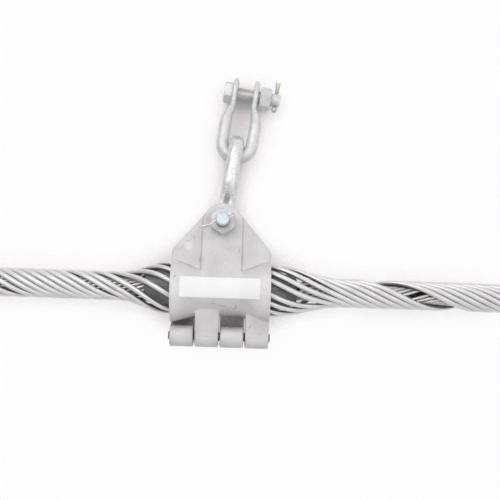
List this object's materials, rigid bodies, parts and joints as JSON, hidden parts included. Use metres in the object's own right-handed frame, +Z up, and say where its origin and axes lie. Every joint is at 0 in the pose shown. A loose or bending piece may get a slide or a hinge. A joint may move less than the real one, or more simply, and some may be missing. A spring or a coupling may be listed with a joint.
{
  "type": "suspension clamp",
  "caption": "Suspension clamp for a self-supporting cable: hinged cast housing over a rubber insert and two layers of helical rods, hung from two linked shackles.",
  "frame": {"origin": "middle of the clamp on the cable axis", "axes": "+X along the cable to the side of the tower nut, +Z up to the tower bolt, -Y to the side of the clamp nut"},
  "size_m": [0.7312, 0.1016, 0.3331],
  "materials": {
    "cast_aluminium": "satin as cast",
    "galvanised_steel": "hot-dip galvanised",
    "cotter_steel": "yellow passivated",
    "pin_steel": "plain",
    "outer_rod_alloy": "bright drawn wire",
    "inner_rod_alloy": "drawn wire",
    "rubber": "moulded",
    "sticker_paper": "blank paper"
  },
  "bodies": {
    "tower_bolt": {"tower_bolt": "galvanised_steel", "tower_nut": "galvanised_steel", "tower_cotter": "cotter_steel"},
    "upper_shackle": {"upper_shackle": "galvanised_steel"},
    "lower_shackle": {"lower_shackle": "galvanised_steel"},
    "clamp": {"clamp_bolt": "galvanised_steel", "clamp_nut": "galvanised_steel", "clamp_cotter": "cotter_steel", "housing_front": "cast_aluminium", "housing_back": "cast_aluminium", "hinge_pin": "pin_steel", "insert_upper": "rubber", "insert_lower": "rubber", "blank_sticker": "sticker_paper", "outer_rod_01": "outer_rod_alloy", "outer_rod_02": "outer_rod_alloy", "outer_rod_03": "outer_rod_alloy", "outer_rod_04": "outer_rod_alloy", "outer_rod_05": "outer_rod_alloy", "outer_rod_06": "outer_rod_alloy", "outer_rod_07": "outer_rod_alloy", "outer_rod_08": "outer_rod_alloy", "outer_rod_09": "outer_rod_alloy", "outer_rod_10": "outer_rod_alloy", "outer_rod_11": "outer_rod_alloy", "inner_rod_01": "inner_rod_alloy", "inner_rod_02": "inner_rod_alloy", "inner_rod_03": "inner_rod_alloy", "inner_rod_04": "inner_rod_alloy", "inner_rod_05": "inner_rod_alloy", "inner_rod_06": "inner_rod_alloy", "inner_rod_07": "inner_rod_alloy", "inner_rod_08": "inner_rod_alloy", "inner_rod_09": "inner_rod_alloy", "inner_rod_10": "inner_rod_alloy"}
  },
  "joints": [
    {"name": "tower_swing", "type": "hinge", "parent": "tower_bolt", "child": "upper_shackle", "pos_m": [0.02152, 0, 0.24149], "axis": [0.9914, 0, -0.1305], "range_deg": [-75, 75]},
    {"name": "link_swing", "type": "hinge", "parent": "upper_shackle", "child": "lower_shackle", "pos_m": [0.01348, 0, 0.18042], "axis": [0, 1, 0], "range_deg": [-60, 60]},
    {"name": "clamp_swing", "type": "hinge", "parent": "lower_shackle", "child": "clamp", "pos_m": [0, 0, 0.078], "axis": [0, 1, 0], "range_deg": [-56, 71]}
  ]
}
